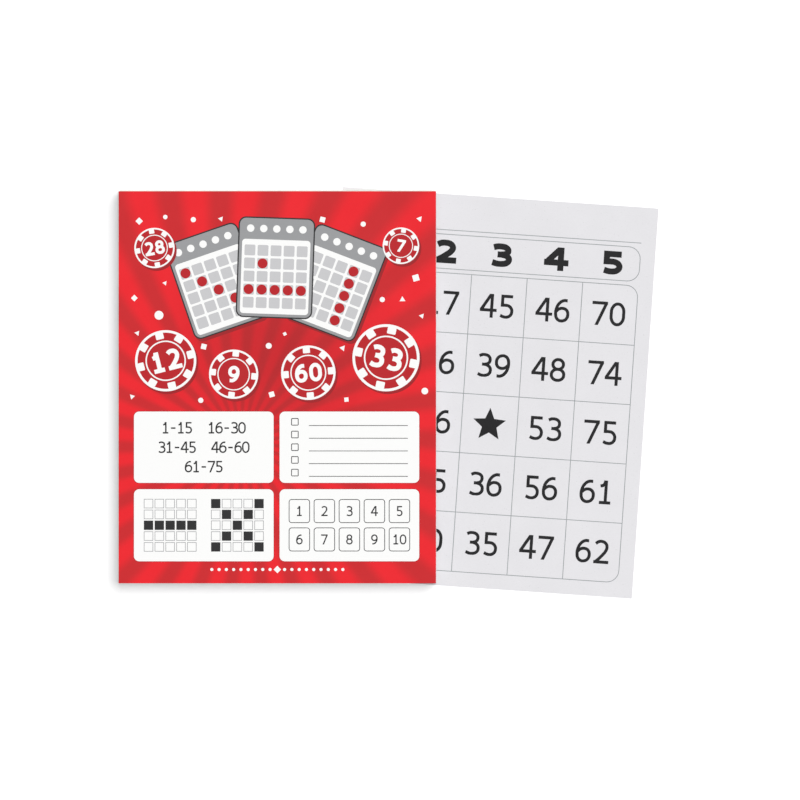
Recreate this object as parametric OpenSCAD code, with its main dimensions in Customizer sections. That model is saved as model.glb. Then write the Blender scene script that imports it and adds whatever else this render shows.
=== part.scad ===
// Tear-off pad of bingo cards: a printed cover, 99 newsprint cards and a grey back board,
// held together by a film of padding glue along the head edge. One more card, already torn
// off, lies half under the pad and is turned a little clockwise.
// X runs across the pad, +Y points to its head and +Z up. The origin is the middle of the
// whole set's outline, on the surface that it lies on.

/* [Cards] */
// Width of a card, and of the whole pad
card_w = 85; // [60:0.5:120]
// Height of a card from head to foot
card_h = 105; // [80:0.5:150]
// Thickness of one newsprint card
card_t = 0.06; // [0.05:0.005:0.12]
// Air that stays between two leaves of the pad
air_t = 0.01; // [0.004:0.001:0.02]
// How far a bound card may stand to either side of the pad's middle
side_jog = 0.08; // [0.02:0.01:0.3]
// How much shorter than the cover a bound card may end at the foot
foot_jog = 0.2; // [0.05:0.05:0.6]

/* [Cover and board] */
// Thickness of the coated paper cover
cover_t = 0.15; // [0.08:0.01:0.3]
// Thickness of the grey back board
board_t = 0.8; // [0.4:0.05:2]

/* [Binding] */
// Thickness of the glue film where it ends, at the cover and at the board
glue_edge_t = 0.12; // [0.05:0.01:0.3]
// How much thicker the glue film is halfway up the pad
glue_bulge = 0.2; // [0.05:0.01:0.5]
// How far short of each side of the pad the glue film stops
glue_side_gap = 0.3; // [0.1:0.1:2]

/* [Loose card] */
// How far the torn-off card is turned clockwise, in degrees
loose_turn = 3.92; // [0.5:0.01:15]
// How far the middle of the torn-off card lies to the right of the pad's middle
loose_right = 56.3; // [45:0.1:80]
// How far the middle of the torn-off card lies below the pad's middle
loose_down = 1.45; // [0:0.05:10]
// Air between the torn-off card and the back board above it
loose_air_t = 0.02; // [0.01:0.005:0.1]

/* [Hidden] */
// Cards that have a node each, counted down from the cover, then the tens below them
SINGLE_CARDS = 49;
TENS = 5;
TEN = 10;
CARDS_BOUND = SINGLE_CARDS + TENS * TEN;
// Turn from one card's jog to the next, so that no two neighbours stand alike
JOG_TURN = 137.5;
// Facets of a full circle in a preview
ROUND = 1440;

RED = [0.90, 0.20, 0.22];
NEWSPRINT = [0.90, 0.90, 0.91];
GREYBOARD = [0.62, 0.59, 0.54];
GLUE_WHITE = [0.93, 0.91, 0.85];

// Names of the leaves
function numeral(k) = str(k < TEN ? "0" : "", k);
function card_name(k) = str("card_", numeral(k));
function first_of_ten(n) = SINGLE_CARDS + 1 + n * TEN;
function ten_name(n) = str("cards_", first_of_ten(n), "_to_", first_of_ten(n) + TEN - 1);

// How far card k stands aside and how much it ends short, each as a share of its jog
function aside_share(k) = sin(k * JOG_TURN);
function short_share(k) = (1 + cos(k * JOG_TURN)) / 2;

// Levels of the stack, from the surface up
leaf_pitch = card_t + air_t;
pad_bottom = card_t + loose_air_t;
board_top = pad_bottom + board_t;
cover_bottom = board_top + air_t + CARDS_BOUND * leaf_pitch;
pad_top = cover_bottom + cover_t;
pad_t = pad_top - pad_bottom;
function card_bottom(k) = cover_bottom - k * leaf_pitch;

// Outline of the set about the pad's middle, which places the origin
loose_reach_x = (card_w * cos(loose_turn) + card_h * sin(loose_turn)) / 2;
loose_reach_y = (card_w * sin(loose_turn) + card_h * cos(loose_turn)) / 2;
jog_reach = side_jog * max([for (k = [1 : CARDS_BOUND]) abs(aside_share(k))]);
pad_reach_x = card_w / 2 + jog_reach;
set_left = min(-pad_reach_x, loose_right - loose_reach_x);
set_right = max(pad_reach_x, loose_right + loose_reach_x);
set_foot = min(-card_h / 2, -loose_down - loose_reach_y);
set_head = max(card_h / 2 + glue_edge_t + glue_bulge, -loose_down + loose_reach_y);
pad_x = -(set_left + set_right) / 2;
pad_y = -(set_foot + set_head) / 2;
head_y = pad_y + card_h / 2;

// One flat leaf of the pad, with its head edge on the glue line
module leaf(height, thickness, bottom, aside = 0) {
    translate([pad_x - card_w / 2 + aside, head_y - height, bottom])
        cube([card_w, height, thickness]);
}

module front_cover() {
    color(RED) leaf(card_h, cover_t, cover_bottom);
}

module back_board() {
    color(GREYBOARD) leaf(card_h, board_t, pad_bottom);
}

// Card k of the pad, counted down from the cover
module bound_card(k) {
    color(NEWSPRINT)
    leaf(card_h - foot_jog * short_share(k), card_t, card_bottom(k),
        aside = side_jog * aside_share(k));
}

module ten_cards(n) {
    for (k = [first_of_ten(n) : first_of_ten(n) + TEN - 1]) bound_card(k);
}

// Section of the glue film: flat against the leaves' edges, a shallow arc outside
module glue_section() {
    bulge_r = (pow(pad_t / 2, 2) + pow(glue_bulge, 2)) / (2 * glue_bulge);
    intersection() {
        square([glue_edge_t + glue_bulge, pad_t]);
        translate([glue_edge_t + glue_bulge - bulge_r, pad_t / 2])
            circle(r = bulge_r, $fn = ROUND);
    }
}

module binding_glue() {
    glue_w = card_w - 2 * glue_side_gap;
    color(GLUE_WHITE)
    translate([pad_x - glue_w / 2, head_y, pad_bottom])
    rotate([90, 0, 90])
    linear_extrude(glue_w)
        glue_section();
}

module loose_card() {
    color(NEWSPRINT)
    translate([pad_x + loose_right, pad_y - loose_down, 0])
    rotate([0, 0, -loose_turn])
    translate([-card_w / 2, -card_h / 2, 0])
        cube([card_w, card_h, card_t]);
}

front_cover();
back_board();
binding_glue();
loose_card();
for (k = [1 : SINGLE_CARDS])
    bound_card(k);
for (n = [0 : TENS - 1])
    ten_cards(n);
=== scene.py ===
import math
import random
import bpy
from mathutils import Matrix, Vector


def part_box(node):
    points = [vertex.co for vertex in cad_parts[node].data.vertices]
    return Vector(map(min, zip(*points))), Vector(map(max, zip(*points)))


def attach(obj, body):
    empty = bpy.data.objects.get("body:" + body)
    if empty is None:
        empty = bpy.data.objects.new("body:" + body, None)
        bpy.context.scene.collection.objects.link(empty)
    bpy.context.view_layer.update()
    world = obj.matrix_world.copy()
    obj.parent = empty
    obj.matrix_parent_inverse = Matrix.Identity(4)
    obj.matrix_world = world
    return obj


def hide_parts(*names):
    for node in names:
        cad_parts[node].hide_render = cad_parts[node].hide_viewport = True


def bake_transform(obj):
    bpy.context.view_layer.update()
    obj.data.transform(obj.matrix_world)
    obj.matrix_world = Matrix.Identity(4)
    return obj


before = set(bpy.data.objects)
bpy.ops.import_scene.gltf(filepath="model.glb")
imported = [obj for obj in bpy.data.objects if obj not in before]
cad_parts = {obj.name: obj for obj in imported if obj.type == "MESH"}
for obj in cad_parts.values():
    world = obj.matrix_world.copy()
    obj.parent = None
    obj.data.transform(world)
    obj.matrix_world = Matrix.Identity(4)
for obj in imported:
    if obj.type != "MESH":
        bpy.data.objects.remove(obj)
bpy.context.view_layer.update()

# A pad of bingo cards seen from straight above, with one torn-off card half under it.
# The cards, the board and the glue are the frame's own solids, which get their finishes here.
# The cover is made anew, and all print is a thin film of ink.

MM = 0.001

# The cover and the loose card, as the frame places them
COVER_LOW, COVER_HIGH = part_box("front_cover")
LOOSE_LOW, LOOSE_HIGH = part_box("loose_card")
CARD_W = COVER_HIGH.x - COVER_LOW.x
CARD_H = COVER_HIGH.y - COVER_LOW.y

# Pitch of the leaves, turn of the loose card, and how many cards of the pad are printed
LEAF_PITCH = 0.07 * MM
LOOSE_TURN = math.radians(3.92)
PRINTED_CARDS = 6

# Ink is modelled a millimetre to the coat, and each coat is then pressed to a film this thick.
# Print that lies straight on its sheet has one coat.
GROUND_COATS = 1
COAT = 1 * MM
CARD_FILM = 0.008 * MM
LOOSE_FILM = 0.015 * MM
COVER_FILM = 0.005 * MM


# Building blocks of the materials

def srgb(red, green, blue):
    """A colour of 0 to 255 to the channel as the renderer's linear light."""
    def linear(value):
        value /= 255
        return value / 12.92 if value <= 0.04045 else ((value + 0.055) / 1.055) ** 2.4
    return (linear(red), linear(green), linear(blue), 1)


def feed(tree, socket, value):
    """Joins another node's output to a socket, or sets the socket to a number or a colour."""
    if isinstance(value, bpy.types.NodeSocket):
        tree.links.new(value, socket)
    else:
        socket.default_value = value


def add_node(tree, kind, **values):
    node = tree.nodes.new(kind)
    for name, value in values.items():
        setattr(node, name, value)
    return node


def reckon(tree, operation, *values):
    """One step of arithmetic with numbers or masks."""
    made = add_node(tree, "ShaderNodeMath", operation=operation)
    for socket, value in zip(made.inputs, values):
        feed(tree, socket, value)
    return made.outputs[0]


def moved_range(tree, value, source, target, way="LINEAR"):
    """A value taken from one range to another."""
    made = add_node(tree, "ShaderNodeMapRange", interpolation_type=way)
    feed(tree, made.inputs["Value"], value)
    for label, end in zip(("From Min", "From Max", "To Min", "To Max"), (*source, *target)):
        feed(tree, made.inputs[label], end)
    return made.outputs["Result"]


def mapped(tree, place, location=(0, 0, 0), rotation=(0, 0, 0), scale=(1, 1, 1)):
    """A place that is moved, turned and stretched."""
    made = add_node(tree, "ShaderNodeMapping")
    feed(tree, made.inputs["Vector"], place)
    for label, value in (("Location", location), ("Rotation", rotation), ("Scale", scale)):
        feed(tree, made.inputs[label], value)
    return made.outputs[0]


def noise(tree, place, scale, detail, distortion=0):
    made = add_node(tree, "ShaderNodeTexNoise")
    feed(tree, made.inputs["Vector"], place)
    for label, value in (("Scale", scale), ("Detail", detail), ("Distortion", distortion)):
        feed(tree, made.inputs[label], value)
    return made.outputs["Fac"]


def length_of(tree, place):
    made = add_node(tree, "ShaderNodeVectorMath", operation="LENGTH")
    feed(tree, made.inputs[0], place)
    return made.outputs["Value"]


def axes_of(tree, place):
    made = add_node(tree, "ShaderNodeSeparateXYZ")
    feed(tree, made.inputs[0], place)
    return made.outputs


def blend_colours(tree, factor, low, high):
    """A colour between two, each a colour or the output of another node."""
    mix = add_node(tree, "ShaderNodeMix", data_type="RGBA")
    for label, value in (("Factor", factor), ("A", low), ("B", high)):
        feed(tree, [s for s in mix.inputs if s.name == label and s.enabled][0], value)
    return [s for s in mix.outputs if s.enabled][0]


# Middle part of a noise's range, where nearly all of its values lie
NOISE_RANGE = (0.3, 0.7)


def spread(tree, tone, ends):
    """A noise stretched between two values."""
    return moved_range(tree, tone, NOISE_RANGE, ends)


# Effects that several materials share

# Slant, stretch and curl of the fibres, how much finer than them the specks are, and how low
# the noise falls in the heart of a speck
FIBRE_SLANT = 0.4
FIBRE_STRETCH = 3.2
FIBRE_CURL = 0.8
SPECK_FINENESS = 1.7
SPECK_CORE = 0.22

# How fast a leaf's shade changes along its edge, and the upward share of a face's normal at
# which it starts to be a cut edge and at which it is one
LINE_WANDER = 14
CUT_EDGE_RANGE = (0.7, 0.5)


def new_group(name, inputs, outputs):
    """An empty node group, with its input and output nodes."""
    group = bpy.data.node_groups.new(name, "ShaderNodeTree")
    for label, kind in inputs:
        group.interface.new_socket(name=label, in_out="INPUT", socket_type=kind)
    for label, kind in outputs:
        group.interface.new_socket(name=label, in_out="OUTPUT", socket_type=kind)
    return group, group.nodes.new("NodeGroupInput").outputs, group.nodes.new("NodeGroupOutput").inputs


def paper_fibre_group():
    """Fibres, cloudy formation and specks of a sheet of paper."""
    group, given, result = new_group(
        "Paper fibre",
        [("Place", "NodeSocketVector"), ("Fibre scale", "NodeSocketFloat"),
         ("Cloud scale", "NodeSocketFloat"), ("Speck share", "NodeSocketFloat")],
        [("Tone", "NodeSocketFloat"), ("Specks", "NodeSocketFloat"), ("Height", "NodeSocketFloat")])
    slanted = mapped(group, given["Place"], rotation=(0, 0, FIBRE_SLANT), scale=(1, FIBRE_STRETCH, 1))
    fibre = noise(group, slanted, given["Fibre scale"], detail=4, distortion=FIBRE_CURL)
    cloud = noise(group, given["Place"], given["Cloud scale"], detail=3)
    both = add_node(group, "ShaderNodeMix", data_type="FLOAT")
    for label, value in (("Factor", 0.5), ("A", fibre), ("B", cloud)):
        feed(group, both.inputs[label], value)
    speck_scale = reckon(group, "MULTIPLY", given["Fibre scale"], SPECK_FINENESS)
    speck = noise(group, given["Place"], speck_scale, detail=1)
    specks = moved_range(group, speck, (given["Speck share"], SPECK_CORE), (0, 1), "SMOOTHSTEP")
    feed(group, result["Tone"], both.outputs["Result"])
    feed(group, result["Specks"], specks)
    feed(group, result["Height"], fibre)
    return group


def leaf_line_group():
    """Fine lines along the cut edges of a stack, a shade for each leaf, and a mask of those edges."""
    group, given, result = new_group(
        "Leaf lines",
        [("Place", "NodeSocketVector"), ("Leaf pitch", "NodeSocketFloat")],
        [("Tone", "NodeSocketFloat"), ("Cut edge", "NodeSocketFloat")])
    x, y, z = axes_of(group, given["Place"])
    leaves = add_node(group, "ShaderNodeCombineXYZ")
    feed(group, leaves.inputs["X"], reckon(group, "MULTIPLY", x, LINE_WANDER))
    feed(group, leaves.inputs["Y"], reckon(group, "MULTIPLY", y, LINE_WANDER))
    feed(group, leaves.inputs["Z"], reckon(group, "DIVIDE", z, given["Leaf pitch"]))
    facing = add_node(group, "ShaderNodeNewGeometry")
    flat = reckon(group, "ABSOLUTE", axes_of(group, facing.outputs["True Normal"])["Z"])
    feed(group, result["Tone"], noise(group, leaves.outputs[0], 1, detail=2))
    feed(group, result["Cut edge"], moved_range(group, flat, CUT_EDGE_RANGE, (0, 1)))
    return group


FIBRE = paper_fibre_group()
LEAF_LINES = leaf_line_group()


def fibre_in(tree, place, grain):
    """The fibre group placed in a material, with the grain of its own paper."""
    made = add_node(tree, "ShaderNodeGroup", node_tree=FIBRE)
    feed(tree, made.inputs["Place"], place)
    for label, value in zip(("Fibre scale", "Cloud scale", "Speck share"), grain):
        feed(tree, made.inputs[label], value)
    return made.outputs


def leaf_lines_in(tree, place):
    """The leaf lines placed in a material."""
    made = add_node(tree, "ShaderNodeGroup", node_tree=LEAF_LINES)
    feed(tree, made.inputs["Place"], place)
    feed(tree, made.inputs["Leaf pitch"], LEAF_PITCH)
    return made.outputs


# Materials

# Grain of each sheet: scale of its fibres, scale of its clouds, share of its specks
NEWSPRINT_GRAIN = (1500, 110, 0.31)
INK_GRAIN = (1400, 240, 0.28)
COVER_GRAIN = (1200, 120, 0.3)
INNER_GRAIN = (1300, 100, 0.27)
BOARD_GRAIN = (700, 60, 0.36)

# Relief of each surface: its depth and its strength
NEWSPRINT_RELIEF = (0.02 * MM, 0.5)
INK_RELIEF = (0.01 * MM, 0.3)
COVER_RELIEF = (0.008 * MM, 0.3)
INNER_RELIEF = (0.012 * MM, 0.4)
BOARD_RELIEF = (0.04 * MM, 0.6)
GLUE_RELIEF = (0.04 * MM, 0.6)

# How strongly specks, leaf lines and mottling show
PAPER_SPECKS = 0.3
BOARD_SPECKS = 0.7
PAPER_LINES = 0.1
GLUE_LINES = 0.14
COVER_MOTTLE = 0.06

# Newsprint's duller and paler clouds as shares of its colour, the light of the paper that shows
# through thin ink, and the roughness of the coated cover
DULL_CLOUD = 0.965
PALE_CLOUD = 1.015
PAPER_LIGHT = 0.8
COATED = 0.42

# Rays on the cover: their middle, from its left edge and up from its foot, their number, how
# many of them the swirl crosses to the metre, and where the soft edge of a ray starts and ends
RAY_MIDDLE = (33.0 * MM, 38.0 * MM)
RAYS = 30
RAY_SWIRL = 9.0
RAY_EDGE = (0.09, 0.42)

# Deeper red in the middle of the cover: its own middle, its reach and its share there
DEEP_MIDDLE = (42.5 * MM, 62.0 * MM)
DEEP_REACH = 40.0 * MM
DEEP_SHARE = 0.5

# Brush marks in the glue, as their number to the metre along each axis
BRUSH_MARKS = (60, 400, 1500)


def new_material(name, specular):
    """A material with a plain Principled shader and the piece's own coordinates."""
    material = bpy.data.materials.new(name)
    material.use_nodes = True
    tree = material.node_tree
    shader = tree.nodes["Principled BSDF"]
    shader.inputs["Specular IOR Level"].default_value = specular
    return material, tree, shader, add_node(tree, "ShaderNodeTexCoord").outputs


def finish_surface(tree, shader, colour, tone, rough, height, relief):
    """Gives the shader its colour, a roughness that follows a tone, and its relief."""
    feed(tree, shader.inputs["Base Color"], colour)
    feed(tree, shader.inputs["Roughness"], spread(tree, tone, rough))
    bump = add_node(tree, "ShaderNodeBump")
    for label, value in zip(("Height", "Distance", "Strength"), (height, *relief)):
        feed(tree, bump.inputs[label], value)
    feed(tree, shader.inputs["Normal"], bump.outputs["Normal"])


def newsprint(name, colour, speck_colour):
    """Uncoated greyish newsprint, cloudy and lightly specked, with leaf lines on its cut edges."""
    material, tree, shader, where = new_material(name, 0.2)
    fibre = fibre_in(tree, where["Object"], NEWSPRINT_GRAIN)
    dull = tuple(channel * DULL_CLOUD for channel in colour[:3]) + (1,)
    pale = tuple(min(1, channel * PALE_CLOUD) for channel in colour[:3]) + (1,)
    cloudy = blend_colours(tree, spread(tree, fibre["Tone"], (0, 1)), dull, pale)
    specks = reckon(tree, "MULTIPLY", fibre["Specks"], PAPER_SPECKS)
    specked = blend_colours(tree, specks, cloudy, speck_colour)
    lines = leaf_lines_in(tree, where["Object"])
    shade = reckon(tree, "MULTIPLY", spread(tree, lines["Tone"], (0, PAPER_LINES)), lines["Cut edge"])
    lined = blend_colours(tree, shade, specked, srgb(148, 145, 142))
    finish_surface(tree, shader, lined, fibre["Tone"], (0.84, 0.96), fibre["Height"], NEWSPRINT_RELIEF)
    return material


def ink(name, colour, roughness=0.6, fade=0.07):
    """Offset ink: its film is a little thinner here and there, so the paper shows through."""
    material, tree, shader, where = new_material(name, 0.15)
    fibre = fibre_in(tree, where["Object"], INK_GRAIN)
    thin = tuple(channel + (PAPER_LIGHT - channel) * fade for channel in colour[:3]) + (1,)
    film = blend_colours(tree, spread(tree, fibre["Tone"], (0, 1)), colour, thin)
    rough = (roughness - 0.06, roughness + 0.08)
    finish_surface(tree, shader, film, fibre["Height"], rough, fibre["Height"], INK_RELIEF)
    return material


def place_on_cover(tree, where, middle=(0, 0)):
    """A place on the cover in metres from a point on it, by the sheet's own flat map."""
    return mapped(tree, where["UV"], location=(-middle[0], -middle[1], 0), scale=(CARD_W, CARD_H, 1))


def red_rays(name):
    """Coated cover paper, printed with swirled rays in two reds that deepen in its middle."""
    material, tree, shader, where = new_material(name, 0.15)
    place = place_on_cover(tree, where, RAY_MIDDLE)
    around = add_node(tree, "ShaderNodeTexGradient", gradient_type="RADIAL")
    feed(tree, around.inputs["Vector"], place)
    count = reckon(tree, "MULTIPLY", around.outputs["Fac"], RAYS)
    swirl = reckon(tree, "MULTIPLY_ADD", length_of(tree, place), RAY_SWIRL, count)
    wave = reckon(tree, "PINGPONG", swirl, 0.5)
    side = moved_range(tree, wave, RAY_EDGE, (0, 1), "SMOOTHSTEP")
    rays = blend_colours(tree, side, srgb(238, 25, 37), srgb(204, 31, 37))
    from_deep = length_of(tree, place_on_cover(tree, where, DEEP_MIDDLE))
    deep = moved_range(tree, from_deep, (0, DEEP_REACH), (DEEP_SHARE, 0), "SMOOTHSTEP")
    ground = blend_colours(tree, deep, rays, srgb(158, 20, 28))
    fibre = fibre_in(tree, place, COVER_GRAIN)
    mottle = spread(tree, fibre["Tone"], (0, COVER_MOTTLE))
    mottled = blend_colours(tree, mottle, ground, srgb(120, 20, 28))
    finish_surface(tree, shader, mottled, fibre["Tone"], (0.36, 0.48), fibre["Height"], COVER_RELIEF)
    return material


def cover_white(name):
    """The unprinted inner side and the cut edges of the cover paper."""
    material, tree, shader, where = new_material(name, 0.25)
    fibre = fibre_in(tree, place_on_cover(tree, where), INNER_GRAIN)
    cloudy = blend_colours(tree, spread(tree, fibre["Tone"], (0, 1)),
                           srgb(241, 240, 236), srgb(246, 245, 242))
    finish_surface(tree, shader, cloudy, fibre["Tone"], (0.55, 0.68), fibre["Height"], INNER_RELIEF)
    return material


def greyboard(name):
    """Recycled grey board with pale and dark flecks."""
    material, tree, shader, where = new_material(name, 0.2)
    fibre = fibre_in(tree, where["Object"], BOARD_GRAIN)
    cloudy = blend_colours(tree, spread(tree, fibre["Tone"], (0, 1)),
                           srgb(146, 140, 131), srgb(176, 170, 160))
    flecks = reckon(tree, "MULTIPLY", fibre["Specks"], BOARD_SPECKS)
    flecked = blend_colours(tree, flecks, cloudy, srgb(92, 88, 84))
    finish_surface(tree, shader, flecked, fibre["Tone"], (0.82, 0.95), fibre["Height"], BOARD_RELIEF)
    return material


def padding_glue(name):
    """Dried padding glue: off-white, a little shiny, streaked by the brush, leaf edges showing."""
    material, tree, shader, where = new_material(name, 0.45)
    brush = noise(tree, mapped(tree, where["Object"], scale=BRUSH_MARKS), 1, detail=3)
    milky = blend_colours(tree, spread(tree, brush, (0, 1)), srgb(216, 212, 199), srgb(231, 228, 218))
    lines = leaf_lines_in(tree, where["Object"])
    shade = spread(tree, lines["Tone"], (0, GLUE_LINES))
    lined = blend_colours(tree, shade, milky, srgb(168, 163, 150))
    finish_surface(tree, shader, lined, brush, (0.28, 0.5), brush, GLUE_RELIEF)
    return material


PAPER = [newsprint("newsprint_a", srgb(231, 230, 233), srgb(176, 174, 172)),
         newsprint("newsprint_b", srgb(228, 227, 229), srgb(172, 170, 170)),
         newsprint("newsprint_c", srgb(233, 232, 234), srgb(180, 177, 176))]
COVER_FACE = red_rays("cover_red_rays")
COVER_BACK = cover_white("cover_inner_white")
BOARD = greyboard("greyboard")
GLUE = padding_glue("padding_glue")
BLACK_INK = ink("card_black_ink", srgb(27, 27, 29), fade=0.012)
LINE_INK = ink("card_line_ink", srgb(141, 147, 149), fade=0.2)
COVER_WHITE_INK = ink("cover_white_ink", srgb(250, 250, 249), roughness=COATED, fade=0.02)
COVER_DARK_INK = ink("cover_dark_ink", srgb(34, 34, 35), roughness=COATED, fade=0.012)
COVER_GREY_INK = ink("cover_grey_ink", srgb(152, 153, 155), roughness=COATED, fade=0.04)
COVER_PALE_INK = ink("cover_pale_ink", srgb(200, 200, 202), roughness=COATED, fade=0.04)
COVER_RED_INK = ink("cover_deep_red_ink", srgb(184, 18, 28), roughness=COATED, fade=0.01)
COVER_SHADE_INK = ink("cover_shade_ink", srgb(158, 20, 28), roughness=COATED, fade=0.01)


# Modelling

CORNER_FACETS = 7
STAR_WAIST_SHARE = 0.45


def deselect():
    if bpy.context.object and bpy.context.object.mode != "OBJECT":
        bpy.ops.object.mode_set(mode="OBJECT")
    bpy.ops.object.select_all(action="DESELECT")


def select_only(*objects):
    """Selects these objects alone, the first of them active."""
    deselect()
    for obj in objects:
        obj.select_set(True)
    bpy.context.view_layer.objects.active = objects[0]


def edit_all(kind):
    bpy.ops.object.mode_set(mode="EDIT")
    bpy.ops.mesh.select_mode(type=kind)
    bpy.ops.mesh.select_all(action="SELECT")


def leave_outline(line):
    """Cuts a flat shape out but for a line along its edge."""
    edit_all("FACE")
    bpy.ops.mesh.inset(thickness=line)
    bpy.ops.mesh.delete(type="FACE")


def settle(obj, coats, finish):
    """Thickens a flat shape upwards to its coats of ink and gives it its finish."""
    bpy.ops.object.mode_set(mode="OBJECT")
    bpy.ops.object.transform_apply(location=True, rotation=True, scale=True)
    wall = obj.modifiers.new("film", "SOLIDIFY")
    wall.thickness = coats * COAT
    wall.offset = 1
    bpy.ops.object.modifier_apply(modifier=wall.name)
    obj.data.materials.clear()
    obj.data.materials.append(finish)
    return obj


def patch(x, y, width, height, radius, coats, finish, line=None):
    """A rounded rectangle about x, y on the sheet, or only its outline of the given line width."""
    deselect()
    bpy.ops.mesh.primitive_plane_add(size=1, location=(x, -y, 0))
    obj = bpy.context.object
    obj.scale = (width, height, 1)
    bpy.ops.object.transform_apply(location=False, rotation=False, scale=True)
    if radius:
        edit_all("VERT")
        bpy.ops.mesh.bevel(offset=radius, offset_type="OFFSET", segments=CORNER_FACETS,
                           affect="VERTICES")
    if line:
        leave_outline(line)
    return settle(obj, coats, finish)


def disc(x, y, radius, coats, finish, line=None, corners=64, turn=0):
    """A round spot, a ring, or with few corners a diamond or a triangle."""
    deselect()
    bpy.ops.mesh.primitive_circle_add(vertices=corners, radius=radius, fill_type="NGON",
                                      location=(x, -y, 0), rotation=(0, 0, turn))
    obj = bpy.context.object
    if line:
        leave_outline(line)
    return settle(obj, coats, finish)


def star(x, y, radius, coats, finish, points=5):
    """A plain star: a round outline whose every other corner is drawn in."""
    deselect()
    bpy.ops.mesh.primitive_circle_add(vertices=2 * points, radius=radius, fill_type="NGON")
    obj = bpy.context.object
    bpy.ops.object.mode_set(mode="EDIT")
    bpy.ops.mesh.select_mode(type="VERT")
    bpy.ops.mesh.select_all(action="DESELECT")
    bpy.ops.object.mode_set(mode="OBJECT")
    for index, corner in enumerate(obj.data.vertices):
        corner.select = index % 2 == 1
    bpy.ops.object.mode_set(mode="EDIT")
    bpy.ops.transform.resize(value=(STAR_WAIST_SHARE, STAR_WAIST_SHARE, 1),
                             center_override=(0, 0, 0))
    bpy.ops.object.mode_set(mode="OBJECT")
    obj.location = (x, -y, 0)
    return settle(obj, coats, finish)


def joined(parts):
    """Several shapes as one object."""
    select_only(*parts)
    if len(parts) > 1:
        bpy.ops.object.join()
    return bpy.context.object


def merge_overlaps(obj):
    """Makes one clean body of shapes that cross each other, with flat faces."""
    select_only(obj)
    edit_all("FACE")
    bpy.ops.mesh.intersect_boolean(operation="UNION", use_self=True, solver="EXACT")
    bpy.ops.object.mode_set(mode="OBJECT")
    bpy.ops.object.shade_flat()
    return obj


def again(model, place, name="copy"):
    """Another piece of the same shape, with a mesh of its own, moved to its place."""
    obj = bpy.data.objects.new(name, model.data.copy())
    bpy.context.scene.collection.objects.link(obj)
    obj.data.transform(place)
    return obj


def drop(*objects):
    for obj in objects:
        bpy.data.objects.remove(obj)


def at(x, y):
    """A place on a sheet, across from its left edge and down from its head."""
    return Matrix.Translation((x, -y, 0))


def turned(angle):
    """A turn to the right, as seen from above."""
    return Matrix.Rotation(-angle, 4, "Z")


def to_film(film):
    """Presses coats of ink down to their film."""
    return Matrix.Diagonal((1, 1, film / COAT, 1))


def from_middle(index, count):
    """How many steps a place in a row of this many lies past the row's middle."""
    return index - (count - 1) / 2


def laid(model, *places):
    """Copies of a shape in their places. The shape itself goes."""
    copies = [again(model, place) for place in places]
    drop(model)
    return copies


def press(name, parts, place, body):
    """Joins printed shapes to one piece, lays them in their place and lets them ride on a body."""
    obj = joined(parts)
    obj.name = name
    obj.data.name = name
    obj.data.transform(place)
    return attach(obj, body)


# Numerals

# Pen strokes of each numeral, as shares of the width and height between its outer centre
# lines. A bar has square ends, a line and a bend end where they are drawn, a loop closes.
STROKE_SHARES = {
    "0": (0.60, [("loop", [(0.5, 1), (0.87, 0.87), (1, 0.5), (0.87, 0.13),
                           (0.5, 0), (0.13, 0.13), (0, 0.5), (0.13, 0.87)])]),
    "1": (0.40, [("bar", [(0.56, 0), (0.56, 1)]),
                 ("bar", [(0, 0), (1, 0)]),
                 ("bend", [(-0.12, 0.80), (0.14, 0.82), (0.36, 0.90), (0.50, 1.16)])]),
    "2": (0.60, [("bend", [(0.03, 0.88), (0.22, 0.97), (0.50, 1.0), (0.82, 0.92), (0.94, 0.73),
                           (0.85, 0.54), (0.62, 0.35), (0.34, 0.16), (0.05, 0.0)]),
                 ("bar", [(0.04, 0), (1, 0)])]),
    "3": (0.60, [("bend", [(0.05, 0.93), (0.26, 0.99), (0.52, 1.0), (0.83, 0.92), (0.93, 0.76),
                           (0.83, 0.61), (0.56, 0.54), (0.30, 0.535)]),
                 ("bend", [(0.30, 0.535), (0.62, 0.52), (0.91, 0.42), (1.0, 0.26), (0.90, 0.09),
                           (0.60, 0.0), (0.30, 0.0), (0.0, 0.07)])]),
    "4": (0.66, [("line", [(0.685, 1.075), (-0.008, 0.315)]),
                 ("bar", [(0, 0.29), (1, 0.29)]),
                 ("bar", [(0.74, 0), (0.74, 1)])]),
    "5": (0.55, [("bar", [(0.14, 1), (0.90, 1)]),
                 ("bar", [(0.14, 1), (0.14, 0.565)]),
                 ("bend", [(0.14, 0.565), (0.42, 0.57), (0.72, 0.54), (0.94, 0.42), (1.0, 0.27),
                           (0.88, 0.09), (0.58, 0.0), (0.28, 0.01), (0.0, 0.07)])]),
    "6": (0.59, [("bend", [(0.92, 0.99), (0.60, 0.985), (0.25, 0.84), (0.05, 0.60), (0.0, 0.34),
                           (0.10, 0.12), (0.32, 0.015), (0.54, 0.0), (0.86, 0.09), (1.0, 0.31),
                           (0.88, 0.53), (0.56, 0.61), (0.26, 0.57), (0.03, 0.45)])]),
    "7": (0.60, [("bar", [(0, 1), (1, 1)]),
                 ("line", [(1.0, 0.98), (0.13, -0.30)])]),
    "8": (0.60, [("loop", [(0.5, 1), (0.80, 0.93), (0.92, 0.77), (0.80, 0.60),
                           (0.5, 0.53), (0.20, 0.60), (0.08, 0.77), (0.20, 0.93)]),
                 ("loop", [(0.5, 0.53), (0.86, 0.455), (1, 0.265), (0.86, 0.075),
                           (0.5, 0), (0.14, 0.075), (0, 0.265), (0.14, 0.455)])]),
    "-": (0.30, [("bar", [(0, 0.47), (1, 0.47)])]),
}

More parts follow.
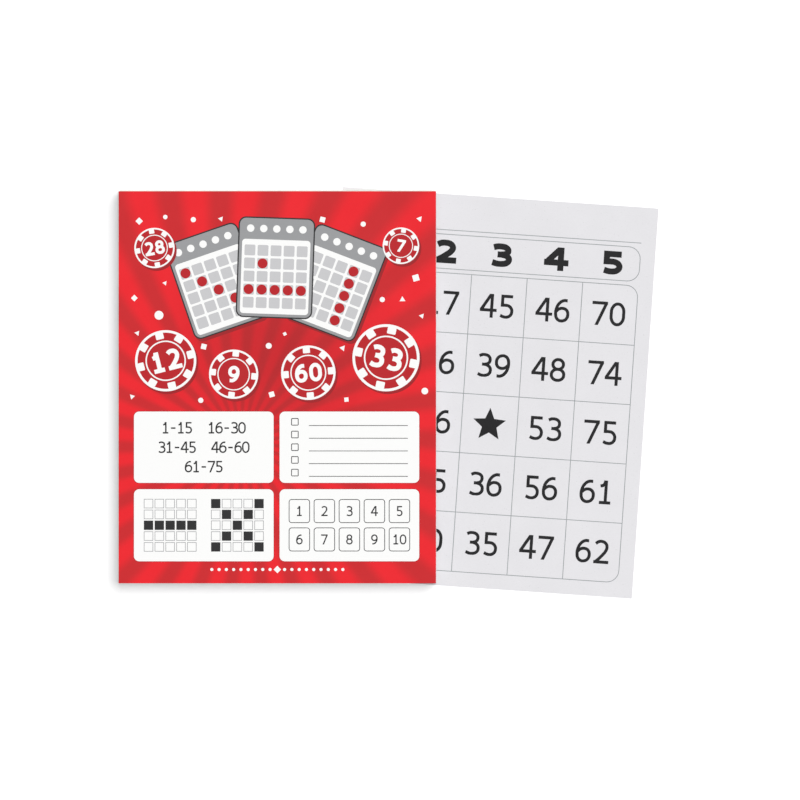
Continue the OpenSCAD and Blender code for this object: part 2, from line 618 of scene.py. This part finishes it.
# A 9 is a 6 turned by half
SIX_WIDTH, SIX_STROKES = STROKE_SHARES["6"]
STROKE_SHARES["9"] = (SIX_WIDTH, [(kind, [(1 - u, 1 - v) for u, v in points])
                                  for kind, points in SIX_STROKES])

BEND_FACETS = 5

# Corners nearer than this are welded, slack of a cut, and shortest edge that stays
WELD = 0.0001
CUT_SLACK = 0.00001
SHORTEST_EDGE = 0.00005


def pen_nib(weight_share):
    """The pen's flat nib: as wide as the stroke and a metre high."""
    deselect()
    bpy.ops.mesh.primitive_plane_add(size=1, location=(0, 0.5, 0))
    nib = bpy.context.object
    nib.scale = (weight_share, 1, 1)
    bpy.ops.object.transform_apply(location=True, rotation=True, scale=True)
    bpy.ops.object.convert(target="CURVE")
    return bpy.context.object


def pen_stroke(kind, points, half, nib):
    """One stroke of the nib along its points, which a bar passes by half its weight."""
    path = bpy.data.curves.new("stroke", "CURVE")
    path.dimensions = "2D"
    path.resolution_u = BEND_FACETS
    path.bevel_mode = "OBJECT"
    path.bevel_object = nib
    path.use_fill_caps = True
    path.fill_mode = "NONE"
    if kind == "bar":
        reach = (points[1] - points[0]).normalized() * half
        points = [points[0] - reach, points[1] + reach]
    if kind in ("bar", "line"):
        run = path.splines.new("POLY")
        run.points.add(len(points) - 1)
        for knot, point in zip(run.points, points):
            knot.co = (*point, 1)
    else:
        run = path.splines.new("BEZIER")
        run.bezier_points.add(len(points) - 1)
        for knot, point in zip(run.bezier_points, points):
            knot.co = point
            knot.handle_left_type = "AUTO"
            knot.handle_right_type = "AUTO"
        run.use_cyclic_u = kind == "loop"
    obj = bpy.data.objects.new("stroke", path)
    bpy.context.scene.collection.objects.link(obj)
    return obj


def cut_level(obj, level, way):
    """Cuts off what stands above a level, or with a way of -1 below it."""
    edit_all("FACE")
    bpy.ops.mesh.bisect(plane_co=(0, level, 0), plane_no=(0, way, 0), use_fill=True,
                        clear_outer=True, threshold=CUT_SLACK)
    bpy.ops.object.mode_set(mode="OBJECT")


def numeral(strokes, width, breadth, weight_share, nib):
    """One numeral of its pen strokes, merged and cut level at foot and head."""
    half = weight_share / 2
    open_share = 1 - weight_share
    pieces = []
    for kind, points in strokes:
        knots = [Vector(((u - 0.5) * width * breadth * open_share, half + v * open_share, 0))
                 for u, v in points]
        pieces.append(pen_stroke(kind, knots, half, nib))
    select_only(*pieces)
    bpy.ops.object.convert(target="MESH")
    obj = joined(pieces)
    edit_all("VERT")
    bpy.ops.mesh.remove_doubles(threshold=WELD)
    bpy.ops.mesh.normals_make_consistent(inside=False)
    merge_overlaps(obj)
    cut_level(obj, 0, -1)
    cut_level(obj, 1, 1)
    edit_all("VERT")
    bpy.ops.mesh.dissolve_degenerate(threshold=SHORTEST_EDGE)
    bpy.ops.object.mode_set(mode="OBJECT")
    return obj


def numerals(weight_share, breadth=1.0):
    """Every numeral a metre tall and a metre thick, drawn by a flat pen of that weight."""
    nib = pen_nib(weight_share)
    made = {sign: numeral(strokes, width, breadth, weight_share, nib)
            for sign, (width, strokes) in STROKE_SHARES.items()}
    drop(nib)
    return made


REGULAR = numerals(0.131)
BOLD = numerals(0.205)
HEAVY = numerals(0.26, breadth=1.6)


def figures(text, x, y, height, style, coats, finish, spacing=0.75, turn=0):
    """A plain number about x, y on the sheet, its numerals spaced by a share of their height."""
    placed = []
    for index, sign in enumerate(text):
        if sign != " ":
            along = from_middle(index, len(text)) * height * spacing
            place = (at(x, y) @ turned(turn) @ at(along, height / 2)
                     @ Matrix.Diagonal((height, height, coats * COAT, 1)))
            obj = again(style[sign], place, "figure")
            obj.data.materials.clear()
            obj.data.materials.append(finish)
            placed.append(obj)
    return placed


# Print of a card, from its left edge and down from its head

COLUMNS = 5
ROWS = 5
FREE_CELL = (2, 2)
NUMBERS_TO_A_COLUMN = 15
GRID_LEFT = 6.25 * MM
GRID_HEAD = 21.15 * MM
CELL_W = 14.95 * MM
CELL_H = 15.97 * MM
GRID_R = 3.3 * MM
HEADING_TOP = 10.7 * MM
HEADING_H = 9.4 * MM
TOP_RULE_Y = 9.6 * MM
LINE_W = 0.19 * MM
NUMBER_H = 6.4 * MM
HEADING_NUMBER_H = 6.3 * MM
STAR_R = 4.6 * MM


def column_x(column):
    return GRID_LEFT + (column + 0.5) * CELL_W


def row_y(row):
    return GRID_HEAD + (row + 0.5) * CELL_H


def rules_of_a_card():
    """The grid, the heading box and the rule above it, in thin grey lines."""
    width, height = COLUMNS * CELL_W, ROWS * CELL_H
    middle_x, middle_y = GRID_LEFT + width / 2, GRID_HEAD + height / 2
    heading_y = HEADING_TOP + HEADING_H / 2
    parts = [
        patch(middle_x, middle_y, width + LINE_W, height + LINE_W, GRID_R, GROUND_COATS, LINE_INK,
              line=LINE_W),
        patch(middle_x, heading_y, width + LINE_W, HEADING_H, GRID_R, GROUND_COATS, LINE_INK,
              line=LINE_W),
        patch(middle_x, TOP_RULE_Y, width, LINE_W, 0, GROUND_COATS, LINE_INK),
    ]
    upright = patch(0, 0, LINE_W, height - LINE_W, 0, GROUND_COATS, LINE_INK)
    level = patch(0, 0, width - LINE_W, LINE_W, 0, GROUND_COATS, LINE_INK)
    parts += laid(upright, *(at(GRID_LEFT + column * CELL_W, middle_y) for column in range(1, COLUMNS)))
    parts += laid(level, *(at(middle_x, GRID_HEAD + row * CELL_H) for row in range(1, ROWS)))
    return merge_overlaps(joined(parts))


def numbers_of_a_card(columns):
    """Numbers in their cells, a star in the free one, and the columns' own numbers as a heading."""
    parts = [star(column_x(FREE_CELL[0]), row_y(FREE_CELL[1]), STAR_R, GROUND_COATS, BLACK_INK)]
    for column, numbers in enumerate(columns):
        x = column_x(column)
        parts += figures(str(column + 1), x, HEADING_TOP + HEADING_H / 2, HEADING_NUMBER_H,
                         HEAVY, GROUND_COATS, BLACK_INK)
        for row, number in enumerate(numbers):
            if (column, row) != FREE_CELL:
                parts += figures(str(number), x, row_y(row), NUMBER_H, REGULAR, GROUND_COATS, BLACK_INK)
    return parts


def drawn_numbers(seed):
    """Five numbers for each column, drawn from the column's own fifteen."""
    draw = random.Random(seed)
    first = [column * NUMBERS_TO_A_COLUMN + 1 for column in range(COLUMNS)]
    return [draw.sample(range(low, low + NUMBERS_TO_A_COLUMN), ROWS) for low in first]


# The loose card's numbers by column, the free cell's place held by a 0
LOOSE_NUMBERS = (
    (4, 11, 7, 15, 2),
    (17, 16, 26, 25, 30),
    (45, 39, 0, 36, 35),
    (46, 48, 53, 56, 47),
    (70, 74, 75, 61, 62),
)


def print_cards():
    """Prints the loose card and the uppermost cards of the pad, the last of which stays bound."""
    rules = rules_of_a_card()
    middle = (LOOSE_LOW + LOOSE_HIGH) / 2
    place = (Matrix.Translation((middle.x, middle.y, LOOSE_HIGH.z)) @ turned(LOOSE_TURN)
             @ at(-CARD_W / 2, -CARD_H / 2) @ to_film(LOOSE_FILM))
    press("loose_card_rules", [again(rules, Matrix.Identity(4))], place, "torn_off_card")
    press("loose_card_numbers", numbers_of_a_card(LOOSE_NUMBERS), place, "torn_off_card")
    for k in range(1, PRINTED_CARDS + 1):
        low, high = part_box("card_%02d" % k)
        place = Matrix.Translation((low.x, high.y, high.z)) @ to_film(CARD_FILM)
        body = "card_%d" % k if k < PRINTED_CARDS else "pad"
        parts = [again(rules, Matrix.Identity(4))] + numbers_of_a_card(drawn_numbers(k))
        press("card_%02d_print" % k, parts, place, body)
    drop(rules)


print_cards()


# Cover sheet

COVER_ROWS = 420
COVER_COLUMNS = 10
SMOOTH_ANGLE = math.radians(40)


def make_cover():
    """The cover as a fine grid, with a white inner side."""
    deselect()
    middle = (COVER_LOW + COVER_HIGH) / 2
    bpy.ops.mesh.primitive_grid_add(x_subdivisions=COVER_COLUMNS, y_subdivisions=COVER_ROWS, size=1,
                                    location=(middle.x, middle.y, COVER_HIGH.z))
    obj = bpy.context.object
    obj.scale = (CARD_W, CARD_H, 1)
    bpy.ops.object.transform_apply(location=True, rotation=True, scale=True)
    obj.name = "cover_sheet"
    obj.data.materials.append(COVER_FACE)
    obj.data.materials.append(COVER_BACK)
    wall = obj.modifiers.new("paper", "SOLIDIFY")
    wall.thickness = COVER_HIGH.z - COVER_LOW.z
    wall.offset = -1
    wall.material_offset = 1
    wall.material_offset_rim = 1
    bpy.ops.object.modifier_apply(modifier=wall.name)
    bpy.ops.object.shade_smooth_by_angle(angle=SMOOTH_ANGLE)
    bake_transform(obj)
    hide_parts("front_cover")


make_cover()


# Print of the cover, from its left edge and down from its head

# Coats of ink up to the top of each layer above the ground
PANEL_COATS = 2
PANEL_PRINT_COATS = 3
FAN_LOW_COATS = 1
FAN_HIGH_COATS = 7
COUNTER_COATS = 13

# Four white panels with a deep red rim
PANEL_W = 37.4 * MM
PANEL_R = 1.4 * MM
PANEL_RIM = 0.16 * MM
LEFT_PANELS_X = 22.8 * MM
RIGHT_PANELS_X = 61.8 * MM
UPPER_PANELS_Y = 68.55 * MM
UPPER_PANEL_H = 19.1 * MM
LOWER_PANELS_Y = 89.45 * MM
LOWER_PANEL_H = 19.3 * MM

# The numbers that each column may hold, in the upper left panel
RANGE_ROWS = ("1-15  16-30", "31-45  46-60", "61-75")
RANGE_PITCH = 5.2 * MM
RANGE_H = 3.1 * MM
RANGE_SPACING = 0.66

# Lines to write on, each with a box to tick, in the upper right panel
WRITING_ROWS = 5
WRITING_PITCH = 3.4 * MM
WRITING_LENGTH = 26.5 * MM
WRITING_LINE = 0.18 * MM
WRITING_ASIDE = 2.4 * MM
WRITING_DOWN = 1.0 * MM
TICK_BOX = 2.0 * MM
TICK_BOX_R = 0.3 * MM
TICK_BOX_LINE = 0.22 * MM
TICK_BOX_ASIDE = 14.6 * MM

# Two small boards with the cells that win, a row and the slants, in the lower left panel
SIDE_CELLS = 5
BOARD_CELL = 2.5 * MM
BOARD_PITCH = 2.9 * MM
BOARD_LINE = 0.16 * MM
BOARDS_APART = 18 * MM
WINNING_CELLS = (
    {(k, 2) for k in range(SIDE_CELLS)},
    {(k, k) for k in range(SIDE_CELLS)} | {(k, SIDE_CELLS - 1 - k) for k in range(SIDE_CELLS)},
)

# Numbered boxes for the score, in the lower right panel
TALLY_COLUMNS = 5
TALLY_ROWS = 2
TALLY_PITCH_X = 6.7 * MM
TALLY_PITCH_Y = 7.6 * MM
TALLY_W = 5.7 * MM
TALLY_H = 6.4 * MM
TALLY_R = 0.8 * MM
TALLY_LINE = 0.2 * MM
TALLY_NUMBER_H = 2.7 * MM
TALLY_SPACING = 0.72

# A row of dots below the panels, with a diamond in the middle
FOOT_ROW_Y = 101.3 * MM
FOOT_DOTS_ASIDE = 9
FOOT_DOT_R = 0.42 * MM
FOOT_DOT_PITCH = 1.95 * MM
FOOT_DIAMOND_R = 1.0 * MM

# A fan of small cards: middle x and y in millimetres, turn in degrees, coats of its first layer
SMALL_CARDS = (
    (26.0, 24.0, -19, FAN_LOW_COATS),
    (58.0, 24.5, 21, FAN_LOW_COATS),
    (42.0, 20.5, 2, FAN_HIGH_COATS),
)
SMALL_DAUBS = (
    {(0, 0), (1, 1), (2, 2), (3, 3), (4, 4)},
    {(3, 0), (3, 1), (3, 2), (3, 3), (3, 4)},
    {(0, 3), (1, 3), (2, 3), (3, 3), (4, 3), (1, 1)},
)
SMALL_W = 20.5 * MM
SMALL_H = 27.0 * MM
SMALL_R = 2.0 * MM
SMALL_RIM = 0.35 * MM
SMALL_FACE_R = 1.7 * MM
FIELD_SIDE = 1.1 * MM
FIELD_H = 19.9 * MM
FIELD_R = 0.9 * MM
FIELD_DOWN = 2.45 * MM
SMALL_PITCH = 3.5 * MM
SMALL_CELL = 2.9 * MM
SMALL_CELL_R = 0.35 * MM
DAUB_R = 1.35 * MM
HEAD_SPOT_R = 1.0 * MM
HEAD_SPOT_UP = 10.4 * MM

# Round counters: middle x and y and radius in millimetres, number, turn in degrees
COUNTERS = (
    (12.6, 45.4, 8.2, "12", -14), (30.8, 49.0, 6.6, "9", 6), (50.8, 48.6, 7.3, "60", -5),
    (71.6, 44.6, 9.0, "33", 12), (75.6, 14.6, 4.9, "7", 10), (9.6, 15.2, 5.4, "28", -10),
)
RIM_NOTCHES = 8

# Shares of a counter's radius
COUNTER_FACE = 0.92
NOTCH_W = 0.26
NOTCH_H = 0.2
NOTCH_R = 0.03
NOTCH_OUT = 0.82
RING_R = 0.66
RING_LINE = 0.045
COUNTER_NUMBER_H = 0.68
COUNTER_SPACING = 0.78

# How far a printed shadow falls aside and down
SHADE_ASIDE = 0.55 * MM
SHADE_DOWN = 0.7 * MM

# Confetti: x, y and size in millimetres, and corners
CONFETTI = (
    (5.5, 8.0, 1.0, 4), (20.0, 7.6, 0.7, 24), (27.4, 7.4, 0.8, 3), (54.6, 7.6, 1.0, 4),
    (65.5, 8.8, 0.7, 24), (80.6, 7.4, 0.9, 3), (79.6, 23.2, 1.2, 4), (70.6, 29.0, 0.7, 24),
    (81.2, 33.4, 0.8, 3), (4.2, 28.6, 0.9, 4), (10.8, 33.2, 1.2, 24), (5.0, 38.0, 0.8, 3),
    (22.8, 41.6, 1.0, 4), (40.2, 41.4, 0.8, 24), (60.0, 42.0, 0.9, 3), (41.0, 54.4, 1.0, 4),
    (22.0, 56.0, 0.7, 24), (61.0, 55.8, 0.8, 4), (82.0, 53.5, 0.9, 24), (3.6, 55.0, 0.8, 3),
    (12.4, 24.6, 0.7, 3), (76.0, 29.0, 0.9, 3), (44.5, 38.2, 0.6, 4), (12.5, 6.9, 0.6, 24),
)
CONFETTI_TURN = 0.7

SPOT_CORNERS = 24
DAUB_CORNERS = 32
DIAMOND_CORNERS = 4


def panels():
    """White panels with a thin deep red rim."""
    parts = []
    for x in (LEFT_PANELS_X, RIGHT_PANELS_X):
        for y, height in ((UPPER_PANELS_Y, UPPER_PANEL_H), (LOWER_PANELS_Y, LOWER_PANEL_H)):
            parts.append(patch(x, y, PANEL_W + 2 * PANEL_RIM, height + 2 * PANEL_RIM,
                               PANEL_R + PANEL_RIM, GROUND_COATS, COVER_RED_INK))
            parts.append(patch(x, y, PANEL_W, height, PANEL_R, PANEL_COATS, COVER_WHITE_INK))
    return parts


def number_ranges():
    """The numbers that each column may hold, as rows of plain numbers."""
    parts = []
    for row, text in enumerate(RANGE_ROWS):
        y = UPPER_PANELS_Y + from_middle(row, len(RANGE_ROWS)) * RANGE_PITCH
        parts += figures(text, LEFT_PANELS_X, y, RANGE_H, REGULAR, PANEL_PRINT_COATS,
                         COVER_DARK_INK, RANGE_SPACING)
    return parts


def writing_lines():
    """Lines to write on, each with a box to tick."""
    parts = []
    for row in range(WRITING_ROWS):
        y = UPPER_PANELS_Y + from_middle(row, WRITING_ROWS) * WRITING_PITCH
        parts.append(patch(RIGHT_PANELS_X + WRITING_ASIDE, y + WRITING_DOWN, WRITING_LENGTH,
                           WRITING_LINE, 0, PANEL_PRINT_COATS, COVER_DARK_INK))
        parts.append(patch(RIGHT_PANELS_X - TICK_BOX_ASIDE, y, TICK_BOX, TICK_BOX, TICK_BOX_R,
                           PANEL_PRINT_COATS, COVER_DARK_INK, line=TICK_BOX_LINE))
    return parts


def winning_patterns():
    """Two small boards on which the cells that win are full and the others are hollow."""
    win, lose = [], []
    for board, cells in enumerate(WINNING_CELLS):
        board_x = LEFT_PANELS_X + from_middle(board, len(WINNING_CELLS)) * BOARDS_APART
        for column in range(SIDE_CELLS):
            for row in range(SIDE_CELLS):
                place = at(board_x + from_middle(column, SIDE_CELLS) * BOARD_PITCH,
                           LOWER_PANELS_Y + from_middle(row, SIDE_CELLS) * BOARD_PITCH)
                side = win if (column, row) in cells else lose
                side.append(place)
    full = patch(0, 0, BOARD_CELL, BOARD_CELL, 0, PANEL_PRINT_COATS, COVER_DARK_INK)
    hollow = patch(0, 0, BOARD_CELL, BOARD_CELL, 0, PANEL_PRINT_COATS, COVER_GREY_INK, line=BOARD_LINE)
    return laid(full, *win) + laid(hollow, *lose)


def tally_boxes():
    """Rows of numbered boxes for the score."""
    box = patch(0, 0, TALLY_W, TALLY_H, TALLY_R, PANEL_PRINT_COATS, COVER_DARK_INK, line=TALLY_LINE)
    parts = []
    for column in range(TALLY_COLUMNS):
        for row in range(TALLY_ROWS):
            x = RIGHT_PANELS_X + from_middle(column, TALLY_COLUMNS) * TALLY_PITCH_X
            y = LOWER_PANELS_Y + from_middle(row, TALLY_ROWS) * TALLY_PITCH_Y
            number = column + 1 + TALLY_COLUMNS * row
            parts.append(again(box, at(x, y)))
            parts += figures(str(number), x, y, TALLY_NUMBER_H, REGULAR, PANEL_PRINT_COATS,
                             COVER_DARK_INK, TALLY_SPACING)
    drop(box)
    return parts


def foot_row():
    """A row of white dots below the panels, with a diamond in the middle."""
    dot = disc(0, 0, FOOT_DOT_R, GROUND_COATS, COVER_WHITE_INK, corners=SPOT_CORNERS)
    steps = [k for k in range(-FOOT_DOTS_ASIDE, FOOT_DOTS_ASIDE + 1) if k]
    dots = laid(dot, *(at(CARD_W / 2 + k * FOOT_DOT_PITCH, FOOT_ROW_Y) for k in steps))
    diamond = disc(CARD_W / 2, FOOT_ROW_Y, FOOT_DIAMOND_R, GROUND_COATS, COVER_WHITE_INK,
                   corners=DIAMOND_CORNERS)
    return dots + [diamond]


def confetti():
    return [disc(x * MM, y * MM, size * MM, GROUND_COATS, COVER_WHITE_INK, corners=corners,
                 turn=index * CONFETTI_TURN)
            for index, (x, y, size, corners) in enumerate(CONFETTI)]


def small_card(x, y, turn, first, daubs):
    """A small playing card in greys, with red spots on some of its cells. Low ones cast a shadow."""
    about = at(x * MM, y * MM) @ turned(math.radians(turn))
    steps = [from_middle(index, SIDE_CELLS) * SMALL_PITCH for index in range(SIDE_CELLS)]
    heads = [about @ at(across, -HEAD_SPOT_UP) for across in steps]
    cells = {(column, row): about @ at(across, FIELD_DOWN + down)
             for column, across in enumerate(steps) for row, down in enumerate(steps)}
    parts = []
    if first == FAN_LOW_COATS:
        shadow = patch(0, 0, SMALL_W, SMALL_H, SMALL_R, first, COVER_SHADE_INK)
        parts += laid(shadow, at(SHADE_ASIDE, SHADE_DOWN) @ about)
    sheet = patch(0, 0, SMALL_W, SMALL_H, SMALL_R, first + 1, COVER_DARK_INK)
    face = patch(0, 0, SMALL_W - 2 * SMALL_RIM, SMALL_H - 2 * SMALL_RIM, SMALL_FACE_R, first + 2,
                 COVER_GREY_INK)
    field = patch(0, 0, SMALL_W - 2 * FIELD_SIDE, FIELD_H, FIELD_R, first + 3, COVER_WHITE_INK)
    head = disc(0, 0, HEAD_SPOT_R, first + 4, COVER_WHITE_INK, corners=SPOT_CORNERS)
    cell = patch(0, 0, SMALL_CELL, SMALL_CELL, SMALL_CELL_R, first + 4, COVER_PALE_INK)
    daub = disc(0, 0, DAUB_R, first + 5, COVER_RED_INK, corners=DAUB_CORNERS)
    parts += laid(sheet, about) + laid(face, about) + laid(field, about @ at(0, FIELD_DOWN))
    parts += laid(head, *heads) + laid(cell, *cells.values())
    parts += laid(daub, *(place for spot, place in cells.items() if spot in daubs))
    return parts


def counter(x, y, radius, text, turn):
    """A round red counter with its shadow, a white rim with notches, a ring and a plain number."""
    x, y, radius, turn = x * MM, y * MM, radius * MM, math.radians(turn)
    step = 2 * math.pi / RIM_NOTCHES
    notch = patch(0, 0, radius * NOTCH_W, radius * NOTCH_H, radius * NOTCH_R, COUNTER_COATS + 3,
                  COVER_WHITE_INK)
    parts = [disc(x + SHADE_ASIDE, y + SHADE_DOWN, radius, COUNTER_COATS, COVER_SHADE_INK),
             disc(x, y, radius, COUNTER_COATS + 1, COVER_WHITE_INK),
             disc(x, y, radius * COUNTER_FACE, COUNTER_COATS + 2, COVER_RED_INK)]
    parts += laid(notch, *(at(x, y) @ turned(turn - k * step) @ at(0, -radius * NOTCH_OUT)
                           for k in range(RIM_NOTCHES)))
    parts.append(disc(x, y, radius * RING_R, COUNTER_COATS + 3, COVER_WHITE_INK,
                      line=radius * RING_LINE))
    parts += figures(text, x, y, radius * COUNTER_NUMBER_H, BOLD, COUNTER_COATS + 4,
                     COVER_WHITE_INK, COUNTER_SPACING, turn)
    return parts


# Pieces of the cover's print, one for each ink
COVER_PRINTS = (
    ("cover_print_white", COVER_WHITE_INK),
    ("cover_print_red", COVER_RED_INK),
    ("cover_print_dark", COVER_DARK_INK),
    ("cover_print_grey", COVER_GREY_INK),
    ("cover_print_pale", COVER_PALE_INK),
    ("cover_print_shade", COVER_SHADE_INK),
)


def print_cover():
    """Makes all of the cover's print, sorts it by ink and lays it on the cover."""
    parts = panels() + number_ranges() + writing_lines() + tally_boxes() + winning_patterns()
    parts += foot_row() + confetti()
    for values, daubs in zip(SMALL_CARDS, SMALL_DAUBS):
        parts += small_card(*values, daubs)
    for values in COUNTERS:
        parts += counter(*values)
    place = Matrix.Translation((COVER_LOW.x, COVER_HIGH.y, COVER_HIGH.z)) @ to_film(COVER_FILM)
    prints = [(name, [part for part in parts if part.data.materials[0] == finish])
              for name, finish in COVER_PRINTS]
    for name, printed in prints:
        press(name, printed, place, "cover")


print_cover()
drop(*REGULAR.values(), *BOLD.values(), *HEAVY.values())


# Finishes of the frame's solids

OWN_FINISHES = {"front_cover": COVER_FACE, "back_board": BOARD, "binding_glue": GLUE, "loose_card": PAPER[0]}


def finish_solids():
    """Gives each of the frame's solids its finish, and the bound cards papers that vary a little."""
    for name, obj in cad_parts.items():
        paper = PAPER[sum(map(ord, name)) % len(PAPER)]
        obj.data.materials.clear()
        obj.data.materials.append(OWN_FINISHES.get(name, paper))


finish_solids()


# Table, light and camera

# The photograph's frame, its scale and the middle of the cover in it, and a lens far above
PIXELS = 800
PIXELS_PER_METRE = 3729.0
COVER_MIDDLE_PX = (277.5, 387.3)
CAMERA_HEIGHT = 3.0
SENSOR = 36.0
CLIP = (0.1, 20)

# Table, and the light that it adds where the camera sees it
TABLE_SIDE = 12
TABLE_DOWN = 0.02 * MM
TABLE_WHITE = 0.97
TABLE_ROUGHNESS = 0.95
TABLE_LIFT = 0.2

# Light from all round: overhead, low down where it falls on the pad's sides, as gloss mirrors
# it, and as the camera sees it
OVERHEAD_LIGHT = 0.36
LOW_LIGHT = 1.5
LOW_LIGHT_SHARE = 0.35
MIRRORED_LIGHT = 0.46
BACKDROP_LIGHT = 1.0

# Soft sun from the upper right
SUN_LIGHT = 2.09
SUN_TILT = (math.radians(-14), math.radians(16), 0)
SUN_WIDTH = math.radians(40)


def white_table():
    """A white table, lifted a little for the camera alone, so that shadows on it stay faint."""
    deselect()
    bpy.ops.mesh.primitive_plane_add(size=TABLE_SIDE, location=(0, 0, -TABLE_DOWN))
    floor = bpy.context.object
    floor.name = "table"
    material, tree, shader, where = new_material("white_table", 0.1)
    rays = add_node(tree, "ShaderNodeLightPath").outputs
    feed(tree, shader.inputs["Roughness"], TABLE_ROUGHNESS)
    feed(tree, shader.inputs["Base Color"], (TABLE_WHITE, TABLE_WHITE, TABLE_WHITE, 1))
    feed(tree, shader.inputs["Emission Color"], (1, 1, 1, 1))
    lift = reckon(tree, "MULTIPLY", rays["Is Camera Ray"], TABLE_LIFT)
    feed(tree, shader.inputs["Emission Strength"], lift)
    floor.data.materials.append(material)


def soft_light():
    """White light from all round, strongest near the horizon, and a soft sun."""
    world = bpy.data.worlds.new("studio")
    bpy.context.scene.world = world
    world.use_nodes = True
    tree = world.node_tree
    sky = tree.nodes["Background"]
    rays = add_node(tree, "ShaderNodeLightPath").outputs
    way = add_node(tree, "ShaderNodeTexCoord").outputs["Object"]
    fallen = moved_range(tree, axes_of(tree, way)["Z"], (0, LOW_LIGHT_SHARE),
                         (LOW_LIGHT, OVERHEAD_LIGHT), "SMOOTHSTEP")
    on_surfaces = moved_range(tree, rays["Is Diffuse Ray"], (0, 1), (MIRRORED_LIGHT, fallen))
    level = moved_range(tree, rays["Is Camera Ray"], (0, 1), (on_surfaces, BACKDROP_LIGHT))
    feed(tree, sky.inputs["Color"], (1, 1, 1, 1))
    feed(tree, sky.inputs["Strength"], level)
    bpy.ops.object.light_add(type="SUN", location=(0, 0, 1), rotation=SUN_TILT)
    sun = bpy.context.object.data
    sun.energy = SUN_LIGHT
    sun.angle = SUN_WIDTH


def camera_above():
    """A long lens straight above, so that the frame falls as in the photograph."""
    scale = 1 / PIXELS_PER_METRE
    middle = (COVER_LOW + COVER_HIGH) / 2
    x = middle.x + (PIXELS / 2 - COVER_MIDDLE_PX[0]) * scale
    y = middle.y - (PIXELS / 2 - COVER_MIDDLE_PX[1]) * scale
    data = bpy.data.cameras.new("camera")
    data.sensor_width = SENSOR
    data.lens = SENSOR * PIXELS_PER_METRE * CAMERA_HEIGHT / PIXELS
    data.clip_start, data.clip_end = CLIP
    camera = bpy.data.objects.new("camera", data)
    camera.location = (x, y, CAMERA_HEIGHT + COVER_HIGH.z / 2)
    bpy.context.scene.collection.objects.link(camera)
    bpy.context.scene.camera = camera


white_table()
soft_light()
camera_above()
bpy.context.scene.view_settings.view_transform = "Standard"
